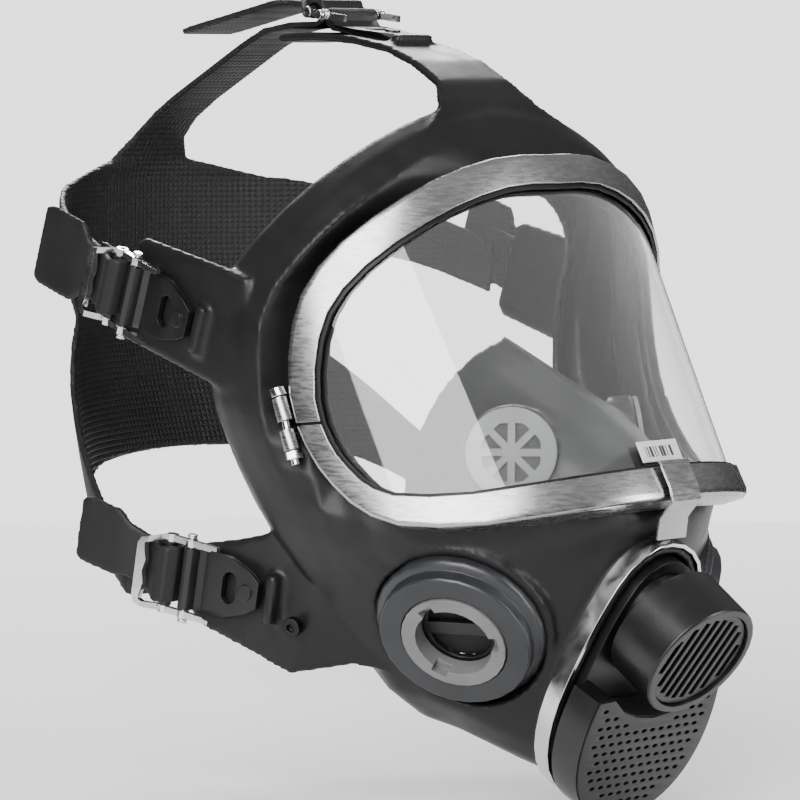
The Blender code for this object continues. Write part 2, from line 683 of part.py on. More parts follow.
def make_front_unit():
    outer = band_outline(BAND_THICKNESS)
    inner = band_outline(-0.2)
    smooth(plate("clamp_band", [outer, inner], -BAND_WIDTH, 0.0, STEEL, BAND_MATRIX), 30)
    exhale_s = 21.0
    housing_edge = band_outline(-1.2 - SHELL_THICKNESS - GAP, 32)
    housing = plate("connector_housing", [housing_edge], -9.0, 2.2, BLACK, BAND_MATRIX)
    bore = disc("speech_bore", 14.0 + GAP, -60, 20, 28, matrix=speech_matrix(), collection=CUTTERS)
    boolean(housing, bore, "DIFFERENCE")
    port_centre = BAND_MATRIX @ Matrix.Translation((0, exhale_s * MM, 0))
    seat_bore = disc("exhale_bore", 11.0, -12, 4, 24, matrix=port_centre, collection=CUTTERS)
    boolean(housing, seat_bore, "DIFFERENCE")
    for k in range(2):
        turn = port_centre @ Matrix.Rotation(math.radians(90 * k), 4, "Z")
        bar = box("exhale_bar", (-11.6, -1.1, -5.0), (11.6, 1.1, -2.6), matrix=turn, collection=CUTTERS)
        boolean(housing, bar, "UNION")
    smooth(housing, 30)
    valve = port_centre @ Matrix.Translation((0, 0, 2.6 * MM))
    smooth(disc("exhalation_valve", 13.6, 0.0, 0.9, 26, SILICONE, valve), 30)
    matrix = speech_matrix()
    body = [(18.4, 0), (20.5, 0), (SPEECH_R, -0.6), (SPEECH_R, -19.5), (14, -19.5), (14, -SPEECH_LENGTH),
            (11.5, -SPEECH_LENGTH), (11.5, -17), (15.8, -17), (15.8, -6.0), (18.4, -6.0)]
    smooth(revolve("speech_housing", body, 30, BLACK, matrix, hollow=True), 30)
    tilt = matrix @ Matrix.Rotation(math.radians(-10), 4, "Z")
    slots = []
    for k in range(-4, 5):
        x = 3.7 * k
        reach = math.sqrt(16.4 ** 2 - x * x) - 0.6
        slots.append([(x - 1.05, -reach), (x + 1.05, -reach), (x + 1.05, reach), (x - 1.05, reach)])
    smooth(plate("speech_grille", [circle(18.1, 30)] + slots, -3.4, -1.2, BLACK, tilt), 30)
    smooth(disc("speech_diaphragm", 18.0, -5.6, -4.6, 28, PLATE, matrix), 30)
    cover_edge = []
    for x, s in band_outline(1.0, 40):
        if s < 52:
            cover_edge.append((x * 1.03, s - 1.5))
    top_cut = [(-21.0, 46.0), (-15, 41.0), (-8, 38.4), (0, 37.4), (8, 38.4), (15, 41.0), (21.0, 46.0)]
    cover_edge = [p for p in cover_edge if p[1] < 46.5]
    upper_right = [(x + z if x >= 0 else x + z - 100) for x, z in cover_edge]
    start = upper_right.index(max(upper_right))
    ordered = cover_edge[start:] + cover_edge[:start]
    outline = ordered + top_cut
    cover = plate("exhalation_cover", [outline], 2.7, 15.0, BLACK, BAND_MATRIX)
    hollow = []
    centre = Vector((0, 22))
    for x, s in outline:
        d = Vector((x, s)) - centre
        q = centre + d * (1 - 2.0 / d.length)
        hollow.append((q.x, q.y))
    inside = plate("cover_hollow", [hollow], 2.0, 13.0, None, BAND_MATRIX, CUTTERS)
    boolean(cover, inside, "DIFFERENCE")
    holes = []
    for row in range(5):
        for col in range(-3, 4):
            x = 7.0 * col + (3.5 if row % 2 else 0.0)
            s = 5.0 + 7.0 * row
            if abs(x) < 21.5 - 0.018 * (s - 25) ** 2:
                holes.append(circle(1.9, 6, x, s, 0.5))
    first = plate("cover_holes", [holes[0]], 12.0, 16.0, None, BAND_MATRIX, CUTTERS)
    bm = bmesh.new()
    bm.from_mesh(first.data)
    for outline_2d in holes[1:]:
        extra = plate("one_hole", [outline_2d], 12.0, 16.0, None, BAND_MATRIX, CUTTERS)
        bm.from_mesh(extra.data)
        bpy.data.objects.remove(extra, do_unlink=True)
    bm.to_mesh(first.data)
    bm.free()
    boolean(cover, first, "DIFFERENCE")
    smooth(cover, 30)


# ---------------------------------------------------------------- nose cup


def cup_valve_matrix(side):
    return frame_matrix(side_vector(CUP_VALVE_CENTRE, side), Vector((0, 0, 1)), side_vector(CUP_VALVE_NORMAL, side))


def make_nose_cup():
    rows = [
        [(0, -50, 24), (14, -47, 17), (27, -43, 2), (35, -40, -20), (36, -40, -45), (24, -44, -70), (0, -46, -80)],
        [(0, -68, 15), (16, -66, 9), (29, -64, -5), (34, -62, -25), (31, -60, -46), (20, -60, -72), (0, -60, -84)],
        [(0, -92, 4), (15, -90, 0), (27, -86, -10), (30, -81, -28), (25, -77, -48), (16, -75, -76), (0, -75, -92)],
        [
            (0, -112, -9), (12, -110, -12), (21, -105, -21), (22.5, -99, -38), (20, -92, -55), (13, -84, -82),
            (0, -82, -98),
        ],
    ]
    count = 15
    loops = [spline(row, count) for row in rows]
    full = band_outline(-9.0, 2 * (count - 1))
    loops.append([band_point(x, s, -12.0) for x, s in full[:count]])
    for row in loops:
        row[0].x = 0.0
        row[-1].x = 0.0
    bm = bmesh.new()
    rings = [[bm.verts.new(p) for p in mirrored_loop(row)] for row in loops]
    grid_faces(bm, rings, True)
    cup = new_object("nose_cup", bm, SILICONE)
    probe = max(cup.data.polygons, key=lambda f: f.center.x)
    if probe.normal.x < 0:
        cup.data.flip_normals()
    thick = cup.modifiers.new("wall", "SOLIDIFY")
    thick.thickness = 1.8 * MM
    thick.offset = -1.0
    bpy.context.view_layer.update()
    apply_modifiers(cup)
    for side, tag in ((-1, "right"), (1, "left")):
        matrix = cup_valve_matrix(side)
        boss = disc("cup_boss", 15.4, -9, -1.2, 24, matrix=matrix, collection=CUTTERS)
        boolean(cup, boss, "UNION")
        trim = disc("cup_trim", 15.0, -1.2, 6, 24, matrix=matrix, collection=CUTTERS)
        boolean(cup, trim, "DIFFERENCE")
        bore = disc("cup_bore", 10.6, -14, 4, 20, matrix=matrix, collection=CUTTERS)
        boolean(cup, bore, "DIFFERENCE")
        wedges = []
        for k in range(8):
            a0, a1 = math.radians(45 * k + 7), math.radians(45 * k + 38)
            middle = (a0 + a1) / 2
            corners = ((3, middle), (9.4, a0), (9.9, middle), (9.4, a1))
            wedges.append([(r * math.cos(a), r * math.sin(a)) for r, a in corners])
        smooth(plate("cup_valve_seat_" + tag, [circle(14.5, 26)] + wedges, -0.85, 0.6, BLACK, matrix), 30)
        disc_matrix = matrix @ Matrix.Translation((0, 0, -1.3 * MM))
        smooth(disc("cup_valve_disc_" + tag, 10.1, -0.6, 0.0, 20, SILICONE, disc_matrix), 30)
    smooth(cup, 45)


# ---------------------------------------------------------------- harness and buckles


def raise_bar(frame):
    """Bends the side rails up between two places, so that the toothed bar lies over the strap."""
    bm = bmesh.new()
    bm.from_mesh(frame.data)
    for place in (RISE_START, RISE_END):
        geometry = bm.verts[:] + bm.edges[:] + bm.faces[:]
        bmesh.ops.bisect_plane(
            bm, geom=geometry, dist=0.0001 * MM, plane_co=((place - PIN_X) * MM, 0, 0), plane_no=(1, 0, 0),
        )
    for vertex in bm.verts:
        share = (vertex.co.x / MM + PIN_X - RISE_START) / (RISE_END - RISE_START)
        vertex.co.z += BAR_RISE * MM * max(0.0, min(1.0, share))
    bm.to_mesh(frame.data)
    bm.free()


def make_buckle(name, matrix):
    w = 13.0
    bar_teeth = []
    for k in range(5):
        y = -7.6 + 3.8 * k
        bar_teeth.append((8.4 if k % 2 else 9.4, y))
    outer = [(-15.5, -w), (-15.5, -w + 1.4), (-13.8, -w + 1.4), (-12.9, -w + 2.0)]
    outer += [(5.0, -w + 2.0), (9.6, -w + 3.4)] + bar_teeth
    outer += [(9.6, w - 3.4), (5.0, w - 2.0), (-12.9, w - 2.0), (-13.8, w - 1.4), (-15.5, w - 1.4), (-15.5, w)]
    outer += [(5.0, w), (11.2, w - 2.0), (12.4, w - 4.0), (12.4, -w + 4.0), (11.2, -w + 2.0), (5.0, -w)]
    pivot = matrix @ Matrix.Translation((PIN_X * MM, 0, 0))
    shifted = [(x - PIN_X, y) for x, y in outer]
    frame = plate("buckle_frame_" + name, [shifted], -1.1, 1.1, STEEL, pivot)
    sideways = Matrix.Rotation(math.radians(90), 4, "X")
    for centre, radius in ((0.0, PIN_R + 0.3), (ROLLER_X - PIN_X, PIN_R + 0.3)):
        hole_at = pivot @ Matrix.Translation((centre * MM, 0, 0)) @ sideways
        for side in (-1, 1):
            middle = side * (w - 1.0)
            cheek = disc("cheek", 2.0, middle - 1.25, middle + 1.25, 8, matrix=hole_at, collection=CUTTERS)
            boolean(frame, cheek, "UNION")
        drill = disc("drill", radius, -w - 2, w + 2, 6, matrix=hole_at, collection=CUTTERS)
        boolean(frame, drill, "DIFFERENCE")
    raise_bar(frame)
    smooth(frame, 30)
    pin_axis = pivot @ sideways
    pin = [(1.7, w + 1.9), (1.7, w + 0.6), (0.9, w + 0.6), (0.9, -w - 0.6), (1.7, -w - 0.6), (1.7, -w - 1.9)]
    smooth(revolve("buckle_pin_" + name, pin, 8, STEEL, pin_axis), 30)
    roller_axis = matrix @ Matrix.Translation((ROLLER_X * MM, 0, 0)) @ sideways
    roller = [
        (0.9, w - 0.3), (0.9, w - 2.5), (ROLLER_R, w - 2.5),
        (ROLLER_R, -w + 2.5), (0.9, -w + 2.5), (0.9, -w + 0.3),
    ]
    smooth(revolve("buckle_roller_" + name, roller, 12, BLACK, roller_axis), 30)
    profile = [(1.25 * math.cos(math.radians(a)), 1.25 * math.sin(math.radians(a))) for a in range(0, 360, 60)]
    ring = []
    for a in range(-60, 181, 40):
        ring.append((2.35 * math.cos(math.radians(a)), 2.35 * math.sin(math.radians(a))))
    tail = [
        (-2.6, -1.6), (-4.2, -3.1), (-13.5, -3.1), (-21.5, -3.1), (-26.2, -3.1), (-26.2, -5.1), (-21.5, -5.1),
        (-13.5, -5.1), (-2.4, -5.1), (0.6, -3.4),
    ]
    outline = ring + tail
    turn = pivot @ Matrix.Rotation(math.radians(90), 4, "X")
    tongue = plate("buckle_tongue_" + name, [outline, profile], -10.2, 10.2, BLACK, turn)
    for vertex in tongue.data.vertices:
        x = vertex.co.x / MM
        if x < -26:
            vertex.co.z *= 0.42
        elif x < -20:
            vertex.co.z *= 0.72
    slot = plate("tongue_slot", [circle(2.9, 12, -14.6, 0, 2.4)], -6, 0, None, pivot, CUTTERS)
    boolean(tongue, slot, "DIFFERENCE")
    stud_matrix = pivot @ Matrix.Translation((-21.3 * MM, 0, 0))
    stud = disc("tongue_stud", 2.7, -3.6, -2.3, 14, matrix=stud_matrix, collection=CUTTERS)
    boolean(tongue, stud, "UNION")
    smooth(tongue, 30)


def harness_back(angle, z):
    """Point of the head plate: angle 0 at the wearer's right, 180 at the left."""
    a = math.radians(angle)
    depth = 104 - 0.0030 * max(0.0, 52 - z) ** 2 if z < 52 else 104 - 0.0012 * (z - 52) ** 2
    return Vector((-88 * math.cos(a), 30 + depth * math.sin(a), z))


def make_harness():
    """Head plate with temple, lower and top straps, as one sheet thickened both ways."""
    angles = [8, 14, 20, 26, 32, 38, 44, 50, 55, 60, 65, 70, 76, 83, 90]
    top_edge = [49.5, 53.5, 57, 60, 62.5, 65, 67.5, 70, 71.3, 72, 72.2, 72.3, 72.6, 73, 73]
    top_low = [30.5, 34.0, 37.5, 40.5, 42.5, 43.5, 43, 40.0, 34.0, 24.5, 22, 22, 22, 22, 22]
    low_high = [-44, -38.0, -31, -23.5, -15, -6.0, 2.5, 10.0, 17.0, 24.5, 22, 22, 22, 22, 22]
    low_low = [-62, -56.5, -51, -45.5, -40, -35, -31, -28.5, -27, -26, -25.5, -25, -24.5, -24, -24]
    bm = bmesh.new()

    def column_points(angle, low, high, steps):
        return [harness_back(angle, low + (high - low) * k / steps) for k in range(steps + 1)]

    def mirror_row(row):
        return [Vector((-p.x, p.y, p.z)) for p in row]

    temple_half = []
    free_end = (
        (69, -98.4, 54.5, 11.5), (66, -98.4, 53.5, 13), (50, -98.4, 48.3, 13), (46, -97.6, 46.2, 8.6),
        (42, -96.4, 44.3, 8.2), (38.5, -97.3, 42.5, 8.2),
    )
    for y, x, zc, half in free_end:
        temple_half.append((x, y, zc, half))
    # the strap turns round the roller; stations run from the free pad to the head plate
    cx, cy = TEMPLE_ROLLER.x, TEMPLE_ROLLER.y + ROLLER_X
    wrap = ROLLER_R + WRAP_GAP + STRAP_THICKNESS / 2
    for a in (90, 135, 180, 225, 270):
        r = math.radians(a)
        temple_half.append((cx - wrap * math.sin(r), cy + wrap * math.cos(r), 40.6, 9.05))
    temple_half += [(-90.4, 43, 43.4, 9.3), (-90.0, 50, 45.5, 9.6)]
    lower_half = []
    lower_free_end = (
        (52, -96.2, -39.5, 9.5), (49, -95.9, -40.0, 11), (36, -93.6, -43.5, 11), (32.5, -92.4, -45.4, 8.8),
        (26.7, -89.2, -48.8, 8.5), (23.7, -89.0, -50.6, 8.6),
    )
    for y, x, zc, half in lower_free_end:
        lower_half.append((x, y, zc, half))
    lx, ly = LOWER_ROLLER.x - 0.7, LOWER_ROLLER.y + ROLLER_X
    for a in (90, 135, 180, 225, 270):
        r = math.radians(a - 11)
        lower_half.append((lx - wrap * math.sin(r), ly + wrap * math.cos(r), -52.9, 9.2))
    lower_half += [(-83.2, 27.5, -51.5, 9.2), (-85.2, 36, -53, 9.2)]

    def strip_rows(stations, steps):
        """Rows across a strap, each parallel to its roller's axis."""
        rows = []
        for x, y, zc, half in stations:
            lean_x, lean_y = (0.0, -0.345) if zc > 0 else (0.035, -0.1635)
            heights = [half * (2 * k / steps - 1) for k in range(steps + 1)]
            rows.append([Vector((x + lean_x * h, y + lean_y * h, zc + h)) for h in heights])
        return rows

    steps = 2
    temple_rows = strip_rows(temple_half, steps) + [column_points(a, lo, hi, steps) for a, lo, hi in
                                                    zip(angles, top_low, top_edge)]
    lower_rows = strip_rows(lower_half, steps) + [column_points(a, lo, hi, steps) for a, lo, hi in
                                                  zip(angles, low_low, low_high)]
    temple_rows += [mirror_row(r) for r in temple_rows[-2::-1]]
    lower_rows += [mirror_row(r) for r in lower_rows[-2::-1]]
    for rows in (temple_rows, lower_rows):
        grid_faces(bm, [[bm.verts.new(p) for p in row] for row in rows], False)
    # top strap: columns share the top edge of the head plate
    centre = len(temple_half) + len(angles) - 1
    base = [temple_rows[k][-1] for k in range(centre - 5, centre + 6)]
    stations = [(0, 131.5, 79, 17), (0, 126, 87, 11.5), (0, 117, 94.5, 10.2), (0, 106, 101, 10), (0, 94, 107, 10),
                (0, 82, 113, 10), (0, 70, 119, 10), (0, 58, 124.2, 10), (0, 46, 126.0, 9.6), (0, 39, 126.1, 9.3)]
    ty, tz = TOP_ROLLER.y + ROLLER_X, TOP_ROLLER.z + 0.4
    for a in (270, 225, 180, 135, 90):
        r = math.radians(a)
        stations.append((0, ty + wrap * math.cos(r), tz + wrap * math.sin(r), 9.3))
    stations += [
        (0, 39.2, 133.2, 9.3), (0, 46, 133.9, 9.8), (0, 50, 133.8, 12.5), (0, 95, 125.0, 12.5), (0, 100, 124.0, 11),
    ]
    rows = [base]
    for x, y, z, half in stations:
        row = []
        for k in range(11):
            t = (base[k].x / abs(base[0].x)) if z < 80 else (k / 5.0 - 1.0)
            row.append(Vector((half * t, y, z)))
        rows.append(row)
    grid_faces(bm, [[bm.verts.new(p) for p in row] for row in rows], False)
    harness = new_object("harness", bm, HARNESS)
    thick = harness.modifiers.new("sheet", "SOLIDIFY")
    thick.thickness = STRAP_THICKNESS * MM
    thick.offset = 0.0
    bpy.context.view_layer.update()
    apply_modifiers(harness)
    smooth(harness, 40)


# ---------------------------------------------------------------- small hardware


def make_hardware(split_index):
    for side, tag in ((-1, "right"), (1, "left")):
        edge = Vector(inset(EDGE, split_index, -4.5))
        above = visor_point(edge[0] - 1.2, edge[1] + 10, BOLT_OUT)
        below = visor_point(edge[0] - 1.2, edge[1] - 10, BOLT_OUT)
        middle = visor_point(edge[0], edge[1], BOLT_OUT)
        centre = side_vector(Vector((-middle.x, middle.y, middle.z)), side)
        axis = above - below
        axis = Vector((axis.x * side, axis.y, axis.z))
        matrix = frame_matrix(centre, Vector((1, 0, 0)), axis)
        bolt = [(2.9, 12.4), (2.9, 9.6), (1.5, 9.6), (1.5, -13.0)]
        smooth(revolve("frame_bolt_" + tag, bolt, 12, STEEL, matrix), 30)
        nut_profile = [(3.2, -8.6), (3.2, -11.2), (1.75, -11.2), (1.75, -8.6)]
        nut = revolve("frame_nut_" + tag, nut_profile, 6, STEEL, matrix, hollow=True)
        smooth(nut, 20)
        for part, low, high in (("upper", 1.4, 9.2), ("lower", -8.2, -1.4)):
            barrel = [(2.9, high), (2.9, low), (1.75, low), (1.75, high)]
            smooth(revolve("clamp_barrel_" + part + "_" + tag, barrel, 12, BRUSHED, matrix, hollow=True), 30)
    for side, tag in ((-1, "right"), (1, "left")):
        centre = side_vector(Vector((-68.9, -24.5, -67.3)), side)
        matrix = frame_matrix(centre, Vector((0, 0, 1)), side_vector(Vector((-0.93, -0.33, -0.14)), side))
        stud = disc("neck_stud_" + tag, 3.3, 1.2, 4.2, 16, STEEL, matrix)
        socket = disc("stud_socket", 1.5, 2.6, 6, 6, matrix=matrix, collection=CUTTERS)
        boolean(stud, socket, "DIFFERENCE")
        smooth(stud, 30)
    label = plate("label_plate", [[(-9, -3.6), (9, -3.6), (9, 3.6), (-9, 3.6)]], 0.35, 1.0, PLATE,
                  frame_matrix(visor_point(0, -9.0), Vector((1, 0, 0)), visor_point(0, -9.0, 1) - visor_point(0, -9.0)))
    smooth(label, 30)
    make_clip()


def make_clip():
    """Sheet clip hooked over the lower frame and tied down to the band."""
    line = [visor_point(0, z, out) for z, out in ((-13, 4.2), (-21.5, 4.4), (-25, 3.2))]
    line += [Vector((0, -125.2, -29.5)), Vector((0, -124.3, -36.2))]
    front = [Vector((0, p.y - CLIP_THICKNESS, p.z)) for p in reversed(line)]
    rings = []
    for x in (-6.5, 6.5):
        rings.append([Vector((x, p.y, p.z)) for p in line + front])
    smooth(loft("frame_clip", rings, BRUSHED), 30)


SPLIT = make_visor_group()
make_facepiece()
make_ports()
make_front_unit()
make_nose_cup()
for buckle_name, buckle_matrix in buckle_frames():
    make_buckle(buckle_name, buckle_matrix)
make_harness()
make_hardware(SPLIT)
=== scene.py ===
"""Looks for the full face respirator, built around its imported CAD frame."""

import json
import math

import bmesh
import bpy
from mathutils import Matrix, Vector
from mathutils.bvhtree import BVHTree
from mathutils.kdtree import KDTree


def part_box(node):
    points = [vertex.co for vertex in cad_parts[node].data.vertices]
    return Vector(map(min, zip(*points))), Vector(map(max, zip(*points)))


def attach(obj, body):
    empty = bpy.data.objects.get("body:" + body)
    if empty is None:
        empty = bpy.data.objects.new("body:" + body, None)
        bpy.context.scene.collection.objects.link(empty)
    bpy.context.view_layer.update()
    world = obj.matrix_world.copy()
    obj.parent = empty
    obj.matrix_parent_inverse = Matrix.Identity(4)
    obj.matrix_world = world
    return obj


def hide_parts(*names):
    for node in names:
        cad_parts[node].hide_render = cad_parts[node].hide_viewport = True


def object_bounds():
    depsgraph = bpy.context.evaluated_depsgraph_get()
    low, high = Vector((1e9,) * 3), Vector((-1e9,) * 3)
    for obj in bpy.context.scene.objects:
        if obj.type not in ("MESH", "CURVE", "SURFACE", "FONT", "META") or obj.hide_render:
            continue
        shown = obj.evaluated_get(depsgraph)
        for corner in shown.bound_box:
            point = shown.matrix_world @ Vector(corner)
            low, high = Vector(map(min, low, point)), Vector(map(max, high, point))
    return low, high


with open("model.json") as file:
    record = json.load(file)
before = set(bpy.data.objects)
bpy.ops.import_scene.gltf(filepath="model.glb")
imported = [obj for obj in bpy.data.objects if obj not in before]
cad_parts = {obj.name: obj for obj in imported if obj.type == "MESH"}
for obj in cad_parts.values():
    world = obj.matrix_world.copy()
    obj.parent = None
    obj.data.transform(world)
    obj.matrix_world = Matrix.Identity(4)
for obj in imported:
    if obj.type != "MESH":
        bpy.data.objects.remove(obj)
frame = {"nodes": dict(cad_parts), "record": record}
CAD_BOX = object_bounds()

MM = 0.001
NODES = frame["nodes"]
# the harness's buckles; its skin stays on the CAD surface near their rollers
BUCKLES = ("temple_left", "temple_right", "lower_left", "lower_right", "top")
ROLLERS = tuple("buckle_roller_" + name for name in BUCKLES)

# visor: an elliptic surface whose depth and position change linearly with height, in mm
VISOR_HALF_WIDTH = 84.4
VISOR_Z_TOP, VISOR_Z_LOW = 75.7, -22.0
VISOR_Y_TOP, VISOR_Y_LOW = 8.9, -19.6
VISOR_DEPTH_TOP, VISOR_DEPTH_LOW = 80.4, 106.7
LENS_THICKNESS = 2.0

# plane of the clamp band
BAND_FOOT = Vector((0, -88.9, -121.9))
BAND_TILT = math.radians(23.8)
BAND_OUTLINE = (
    (0, 91), (9, 88.5), (16, 82), (20.5, 72), (23.5, 62), (26, 50), (27.6, 38), (27.2, 27), (24.5, 17),
    (19, 8.5), (10, 2), (0, 0),
)
COVER_TOP = ((-21.0, 46.0), (-15, 41.0), (-8, 38.4), (0, 37.4), (8, 38.4), (15, 41.0), (21.0, 46.0))
COVER_FACE = 15.0
COVER_BACK = 2.7


# ------------------------------------------------------------------ node materials


class Nodes:
    """Small helper that adds linked shader nodes to one material."""

    def __init__(self, name):
        self.mat = bpy.data.materials.new(name)
        self.mat.use_nodes = True
        self.tree = self.mat.node_tree
        self.shader = self.tree.nodes["Principled BSDF"]
        self.coord = self.tree.nodes.new("ShaderNodeTexCoord").outputs["Object"]

    def put(self, socket, value):
        if isinstance(value, bpy.types.NodeSocket):
            self.tree.links.new(value, socket)
        else:
            socket.default_value = value

    def math(self, operation, a, b=0.0):
        node = self.tree.nodes.new("ShaderNodeMath")
        node.operation = operation
        self.put(node.inputs[0], a)
        self.put(node.inputs[1], b)
        return node.outputs[0]

    def split(self, vector):
        node = self.tree.nodes.new("ShaderNodeSeparateXYZ")
        self.put(node.inputs[0], vector)
        return node.outputs

    def normal(self):
        return self.tree.nodes.new("ShaderNodeNewGeometry").outputs["Normal"]

    def dot(self, vector, direction):
        node = self.tree.nodes.new("ShaderNodeVectorMath")
        node.operation = "DOT_PRODUCT"
        self.put(node.inputs[0], vector)
        node.inputs[1].default_value = direction
        return node.outputs["Value"]

    def noise(self, scale, detail=3.0, stretch=None):
        vector = self.coord
        if stretch is not None:
            mapping = self.tree.nodes.new("ShaderNodeMapping")
            self.put(mapping.inputs["Vector"], vector)
            mapping.inputs["Scale"].default_value = stretch
            vector = mapping.outputs[0]
        node = self.tree.nodes.new("ShaderNodeTexNoise")
        self.put(node.inputs["Vector"], vector)
        node.inputs["Scale"].default_value = scale
        node.inputs["Detail"].default_value = detail
        return node.outputs["Fac"]

    def ranged(self, fac, low, high):
        """Numbers from low to high over the range that a noise mostly fills."""
        node = self.tree.nodes.new("ShaderNodeMapRange")
        self.put(node.inputs["Value"], fac)
        node.inputs["From Min"].default_value = 0.3
        node.inputs["From Max"].default_value = 0.7
        node.inputs["To Min"].default_value = low
        node.inputs["To Max"].default_value = high
        return node.outputs[0]

    def colours(self, fac, low, high):
        ramp = self.tree.nodes.new("ShaderNodeValToRGB")
        self.put(ramp.inputs[0], fac)
        ramp.color_ramp.elements[0].position = 0.3
        ramp.color_ramp.elements[1].position = 0.7
        ramp.color_ramp.elements[0].color = (*low, 1)
        ramp.color_ramp.elements[1].color = (*high, 1)
        return ramp.outputs[0]

    def bump(self, height, depth, strength=1.0):
        node = self.tree.nodes.new("ShaderNodeBump")
        node.inputs["Strength"].default_value = strength
        node.inputs["Distance"].default_value = depth * MM
        self.put(node.inputs["Height"], height)
        self.tree.links.new(node.outputs[0], self.shader.inputs["Normal"])

    def set(self, **values):
        for key, value in values.items():
            self.put(self.shader.inputs[key.replace("_", " ")], value)
        return self.mat


def rubber(name, low, high, rough):
    n = Nodes(name)
    n.bump(n.noise(900.0, 2.0), 0.05)
    n.shader.inputs["Specular IOR Level"].default_value = 0.3
    return n.set(
        Base_Color=n.colours(n.noise(35.0, 4.0), low, high),
        Roughness=n.ranged(n.noise(90.0), rough - 0.06, rough + 0.06),
    )


def harness_rubber():
    """Black rubber: a waffle on the inner side, cross ribs on the top strap, a fine grain elsewhere."""
    n = Nodes("harness_rubber")
    px, py, pz = n.split(n.coord)
    nx, ny, _ = n.split(n.normal())
    # the coordinate round the head: x where the surface faces back, y where it faces sideways
    sideways = n.math("GREATER_THAN", n.math("ABSOLUTE", nx), n.math("ABSOLUTE", ny))
    around = n.math(
        "ADD",
        n.math("MULTIPLY", py, sideways),
        n.math("MULTIPLY", px, n.math("SUBTRACT", 1.0, sideways)),
    )
    pitch = 2 * math.pi / (1.9 * MM)
    across = n.math("ABSOLUTE", n.math("SINE", n.math("MULTIPLY", around, pitch / 2)))
    upward = n.math("ABSOLUTE", n.math("SINE", n.math("MULTIPLY", pz, pitch / 2)))
    waffle = n.math("MINIMUM", across, upward)
    # the inner side faces the middle of the head
    inward = n.math(
        "ADD",
        n.math("MULTIPLY", nx, px),
        n.math("MULTIPLY", ny, n.math("SUBTRACT", py, 0.03)),
    )
    inside = n.math("LESS_THAN", inward, 0.0)
    along_top = n.dot(n.coord, (0.0, -0.87, 0.49))
    ribs = n.math("ABSOLUTE", n.math("SINE", n.math("MULTIPLY", along_top, math.pi / (2.3 * MM))))
    on_top = n.math(
        "MULTIPLY", n.math("GREATER_THAN", pz, 0.094), n.math("GREATER_THAN", py, 0.07)
    )
    height = n.math(
        "ADD",
        n.math("MULTIPLY", n.math("MULTIPLY", waffle, inside), 0.9),
        n.math("MULTIPLY", ribs, on_top),
    )
    grain = n.math("MULTIPLY", n.noise(900.0, 2.0), 0.12)
    n.bump(n.math("ADD", height, grain), 0.35)
    n.shader.inputs["Specular IOR Level"].default_value = 0.35
    colour = n.colours(n.noise(40.0, 4.0), (0.0045, 0.0045, 0.0048), (0.008, 0.008, 0.0085))
    return n.set(Base_Color=colour, Roughness=n.ranged(n.noise(80.0), 0.50, 0.62))


def metal(name, low, high, rough, stretch, depth=0.012):
    n = Nodes(name)
    grain = n.noise(220.0, 4.0, stretch)
    n.bump(grain, depth)
    n.shader.inputs["Metallic"].default_value = 1.0
    return n.set(
        Base_Color=n.colours(n.noise(55.0, 5.0), low, high),
        Roughness=n.ranged(grain, rough - 0.06, rough + 0.08),
    )


def plastic(name, low, high, rough):
    n = Nodes(name)
    n.bump(n.noise(1400.0, 2.0), 0.03)
    return n.set(
        Base_Color=n.colours(n.noise(60.0, 3.0), low, high),
        Roughness=n.ranged(n.noise(120.0), rough - 0.05, rough + 0.05),
    )


def lens_material():
    n = Nodes("lens_clear")
    n.shader.inputs["Base Color"].default_value = (0.97, 0.98, 0.98, 1)
    n.shader.inputs["Transmission Weight"].default_value = 1.0
    n.shader.inputs["IOR"].default_value = 1.5
    return n.set(Roughness=n.ranged(n.noise(60.0), 0.0, 0.015))


def label_material():
    """A plain plate with dark bars of uneven width in its middle; it says nothing."""
    n = Nodes("label_bars")
    px, _, pz = n.split(n.coord)
    bars = n.tree.nodes.new("ShaderNodeTexNoise")
    bars.noise_dimensions = "1D"
    n.put(bars.inputs["W"], px)
    bars.inputs["Scale"].default_value = 900.0
    bars.inputs["Detail"].default_value = 0.0
    dark = n.math("GREATER_THAN", bars.outputs["Fac"], 0.5)
    low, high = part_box("label_plate")
    half_wide = (high.x - low.x) * 0.36
    middle = (high.z + low.z) / 2
    inside = n.math(
        "MULTIPLY",
        n.math("LESS_THAN", n.math("ABSOLUTE", px), half_wide),
        n.math("LESS_THAN", n.math("ABSOLUTE", n.math("SUBTRACT", pz, middle)), (high.z - low.z) * 0.24),
    )
    colour = n.colours(n.math("MULTIPLY", dark, inside), (0.62, 0.62, 0.61), (0.03, 0.03, 0.03))
    return n.set(Base_Color=colour, Roughness=n.ranged(n.noise(150.0), 0.3, 0.4))


LOOKS = {
    "rubber": rubber("facepiece_rubber", (0.006, 0.006, 0.0064), (0.010, 0.010, 0.0104), 0.42),
    "seal": rubber("seal_rubber", (0.005, 0.005, 0.005), (0.008, 0.008, 0.008), 0.45),
    "harness": harness_rubber(),
    "silicone": rubber("cup_rubber", (0.012, 0.012, 0.0125), (0.018, 0.018, 0.0185), 0.42),
    "clear": lens_material(),
    "brushed": metal("frame_steel", (0.36, 0.36, 0.36), (0.46, 0.46, 0.455), 0.27, (1, 1, 6), 0.003),
    "steel": metal("polished_steel", (0.66, 0.66, 0.65), (0.78, 0.78, 0.77), 0.17, (1, 1, 1)),
    "black": plastic("satin_black", (0.0045, 0.0045, 0.0045), (0.007, 0.007, 0.007), 0.33),
    "grey": plastic("collar_grey", (0.016, 0.0165, 0.019), (0.024, 0.025, 0.028), 0.34),
    "light_grey": plastic("ring_grey", (0.12, 0.12, 0.12), (0.17, 0.17, 0.17), 0.42),
    "plate": label_material(),
}
